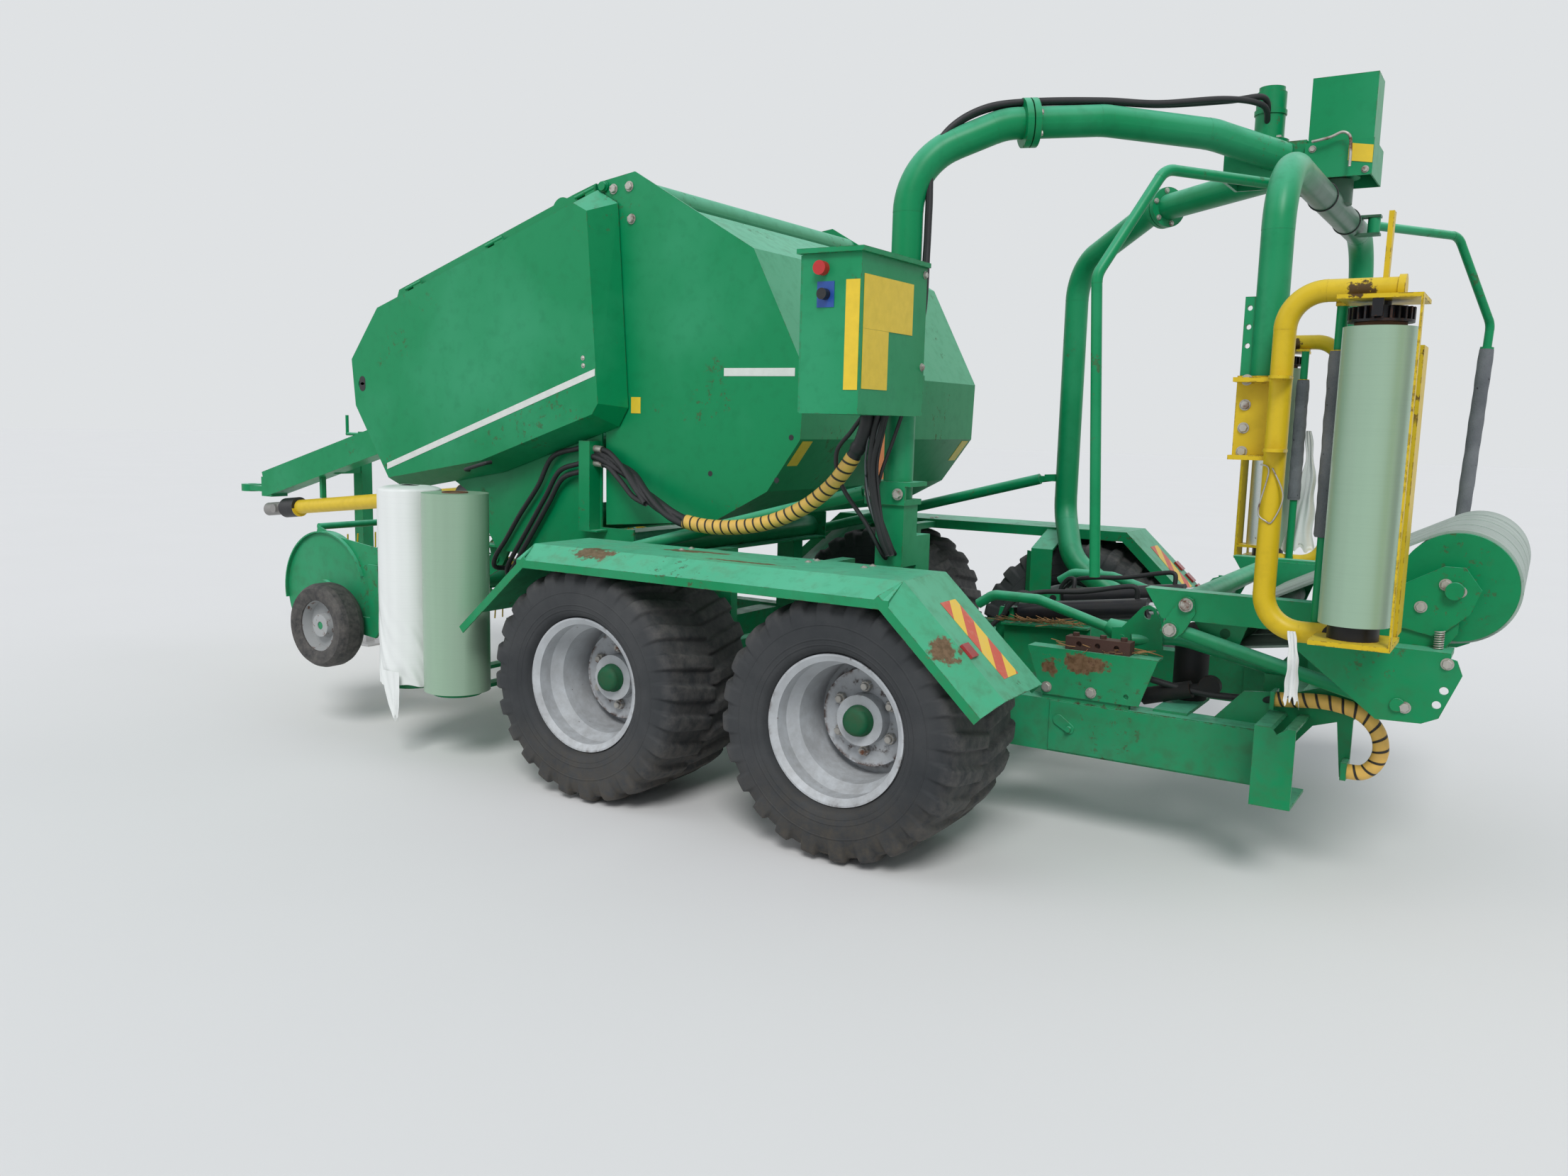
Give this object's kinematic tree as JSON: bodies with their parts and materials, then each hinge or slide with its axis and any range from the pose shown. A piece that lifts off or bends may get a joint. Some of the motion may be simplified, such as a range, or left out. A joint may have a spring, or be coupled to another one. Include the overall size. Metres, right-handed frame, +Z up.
{
  "type": "baler wrapper trailer",
  "caption": "Towed tandem-axle round baler with a wrapping table and a twin film-dispenser rotor, on one chassis with a drawbar and a jack.",
  "frame": {"origin": "on the ground, below the middle of the machine's bounding box", "axes": "+X rearwards, -Y to the machine's left side, +Z up"},
  "size_m": [6.4, 2.6, 2.421],
  "materials": {
    "bare_aluminium": "satin",
    "belt_rubber": "matt",
    "black_paint": "semi-gloss",
    "brown_paint": "matt",
    "chromed_steel": "polished",
    "dark_green_paint": "semi-gloss",
    "green_film": "satin",
    "green_paint": "semi-gloss",
    "lamp_red": "gloss",
    "red_plastic": "gloss",
    "silver_paint": "satin",
    "tyre_rubber": "matt",
    "white_film": "satin",
    "yellow_paint": "semi-gloss",
    "yellow_plastic": "satin",
    "zinc_steel": "satin"
  },
  "bodies": {
    "chassis": {"main_frame": "green_paint", "lamp_boxes": "green_paint", "tail_lamps": "lamp_red", "walking_beams": "dark_green_paint", "mudguards": "green_paint", "reflectors": "lamp_red", "drawbar": "green_paint", "pto_shaft": "yellow_plastic", "jack_tube": "green_paint", "chamber_front": "green_paint", "front_housing": "green_paint", "hose_bracket": "green_paint", "arches": "green_paint", "post_braces": "green_paint", "head_plate": "green_paint", "head_motor": "green_paint", "head_hood": "green_paint", "control_box": "green_paint", "control_knobs": "red_plastic", "film_rack": "green_paint", "stored_roll_new": "green_film", "stored_roll_bagged": "white_film", "side_bracket": "green_paint", "valve_block": "brown_paint", "hose_front": "yellow_plastic", "hose_rear": "yellow_plastic"},
    "wheel_front_left": {"tyre_front_left": "tyre_rubber", "rim_front_left": "silver_paint"},
    "wheel_rear_left": {"tyre_rear_left": "tyre_rubber", "rim_rear_left": "silver_paint"},
    "wheel_front_right": {"tyre_front_right": "tyre_rubber", "rim_front_right": "silver_paint"},
    "wheel_rear_right": {"tyre_rear_right": "tyre_rubber", "rim_rear_right": "silver_paint"},
    "jack": {"jack_leg": "zinc_steel"},
    "tailgate": {"tailgate": "green_paint"},
    "cover_left": {"cover_left": "green_paint"},
    "cover_right": {"cover_right": "green_paint"},
    "control_door": {"control_door": "green_paint"},
    "pickup": {"pickup_frame": "green_paint"},
    "reel": {"pickup_reel": "yellow_paint"},
    "gauge_left": {"gauge_wheel_left": "tyre_rubber"},
    "gauge_right": {"gauge_wheel_right": "tyre_rubber"},
    "rotor": {"rotor_arm": "green_paint", "dispenser_left": "yellow_paint", "dispenser_right": "yellow_paint"},
    "film_left": {"film_roll_left": "green_film"},
    "film_right": {"film_roll_right": "green_film"},
    "stretch_left": {"stretch_roller_left": "bare_aluminium"},
    "stretch_right": {"stretch_roller_right": "bare_aluminium"},
    "safety_left": {"safety_arm_left": "green_paint"},
    "safety_right": {"safety_arm_right": "green_paint"},
    "table": {"table_frame": "green_paint", "table_belts": "belt_rubber"},
    "drum": {"table_drum": "green_paint"},
    "roller": {"table_roller": "dark_green_paint"},
    "ram_barrels": {"ram_barrels": "black_paint"},
    "ram_rods": {"ram_rods": "chromed_steel"},
    "cutter_left": {"cutter_left": "green_paint"},
    "cutter_right": {"cutter_right": "green_paint"}
  },
  "joints": [
    {"name": "wheel_front_left_spin", "type": "hinge", "parent": "chassis", "child": "wheel_front_left", "pos_m": [0.515, -1.025, 0.41], "axis": [0, 1, 0], "continuous": true},
    {"name": "wheel_rear_left_spin", "type": "hinge", "parent": "chassis", "child": "wheel_rear_left", "pos_m": [1.505, -1.025, 0.41], "axis": [0, 1, 0], "continuous": true},
    {"name": "wheel_front_right_spin", "type": "hinge", "parent": "chassis", "child": "wheel_front_right", "pos_m": [0.515, 1.025, 0.41], "axis": [0, 1, 0], "continuous": true},
    {"name": "wheel_rear_right_spin", "type": "hinge", "parent": "chassis", "child": "wheel_rear_right", "pos_m": [1.505, 1.025, 0.41], "axis": [0, 1, 0], "continuous": true},
    {"name": "jack_slide", "type": "slide", "parent": "chassis", "child": "jack", "axis": [0, 0, 1], "range_m": [0, 0.32]},
    {"name": "tailgate_hinge", "type": "hinge", "parent": "chassis", "child": "tailgate", "pos_m": [0.16, 0, 2.165], "axis": [0, -1, 0], "range_deg": [0, 70]},
    {"name": "cover_left_hinge", "type": "hinge", "parent": "chassis", "child": "cover_left", "pos_m": [-0.984, -0.736, 1.812], "axis": [-0.9534, 0, -0.3018], "range_deg": [0, 75]},
    {"name": "cover_right_hinge", "type": "hinge", "parent": "chassis", "child": "cover_right", "pos_m": [-0.984, 0.736, 1.812], "axis": [0.9534, 0, 0.3018], "range_deg": [0, 75]},
    {"name": "control_door_hinge", "type": "hinge", "parent": "chassis", "child": "control_door", "pos_m": [1.3657, -0.859, 1.566], "axis": [0, 0, -1], "range_deg": [0, 100]},
    {"name": "pickup_lift", "type": "hinge", "parent": "chassis", "child": "pickup", "pos_m": [-0.47, 0, 0.715], "axis": [0, 1, 0], "range_deg": [-28, 0]},
    {"name": "reel_spin", "type": "hinge", "parent": "pickup", "child": "reel", "pos_m": [-1.07, 0, 0.56], "axis": [0, 1, 0], "continuous": true},
    {"name": "gauge_left_spin", "type": "hinge", "parent": "pickup", "child": "gauge_left", "pos_m": [-0.935, -1.164, 0.448], "axis": [0, 1, 0], "continuous": true},
    {"name": "gauge_right_spin", "type": "hinge", "parent": "pickup", "child": "gauge_right", "pos_m": [-0.935, 1.164, 0.448], "axis": [0, 1, 0], "continuous": true},
    {"name": "rotor_spin", "type": "hinge", "parent": "chassis", "child": "rotor", "pos_m": [2.56, 0, 2.04], "axis": [0, 0, 1], "continuous": true},
    {"name": "film_left_spin", "type": "hinge", "parent": "rotor", "child": "film_left", "pos_m": [2.85, -1, 1.214], "axis": [0, 0, 1], "continuous": true},
    {"name": "film_right_spin", "type": "hinge", "parent": "rotor", "child": "film_right", "pos_m": [2.27, 1, 1.214], "axis": [0, 0, 1], "continuous": true},
    {"name": "stretch_left_spin", "type": "hinge", "parent": "rotor", "child": "stretch_left", "pos_m": [2.87, -0.844, 1.214], "axis": [0, 0, 1], "continuous": true},
    {"name": "stretch_right_spin", "type": "hinge", "parent": "rotor", "child": "stretch_right", "pos_m": [2.25, 0.844, 1.214], "axis": [0, 0, 1], "continuous": true},
    {"name": "safety_left_swing", "type": "hinge", "parent": "rotor", "child": "safety_left", "pos_m": [2.485, -0.43, 2.035], "axis": [0, 0, 1], "range_deg": [-30, 30], "stiffness_Nm_per_rad": 60},
    {"name": "safety_right_swing", "type": "hinge", "parent": "rotor", "child": "safety_right", "pos_m": [2.635, 0.43, 2.035], "axis": [0, 0, 1], "range_deg": [-30, 30], "stiffness_Nm_per_rad": 60},
    {"name": "table_tip", "type": "hinge", "parent": "chassis", "child": "table", "pos_m": [2.94, 0, 0.603], "axis": [0, 1, 0], "range_deg": [0, 40]},
    {"name": "drum_spin", "type": "hinge", "parent": "table", "child": "drum", "pos_m": [3.045, 0, 0.915], "axis": [0, 1, 0], "continuous": true},
    {"name": "roller_spin", "type": "hinge", "parent": "table", "child": "roller", "pos_m": [2.455, 0, 0.722], "axis": [0, 1, 0], "continuous": true},
    {"name": "ram_pivot", "type": "hinge", "parent": "chassis", "child": "ram_barrels", "pos_m": [1.64, 0, 0.66], "axis": [0, 1, 0], "range_deg": [-20.5, 0]},
    {"name": "ram_extend", "type": "slide", "parent": "ram_barrels", "child": "ram_rods", "axis": [0.9914, 0, 0.1307], "range_m": [0, 0.357]},
    {"name": "cutter_left_lift", "type": "hinge", "parent": "chassis", "child": "cutter_left", "pos_m": [2.117, -0.41, 0.655], "axis": [0, 1, 0], "range_deg": [0, 50]},
    {"name": "cutter_right_lift", "type": "hinge", "parent": "chassis", "child": "cutter_right", "pos_m": [2.117, 0.41, 0.655], "axis": [0, 1, 0], "range_deg": [0, 50]}
  ],
  "couplings": [
    {"joint": "roller_spin", "follows": "drum_spin", "ratio": 3.3636},
    {"joint": "ram_pivot", "follows": "table_tip", "ratio": -0.5121},
    {"joint": "ram_extend", "follows": "table_tip", "m_per_rad": 0.5111}
  ]
}
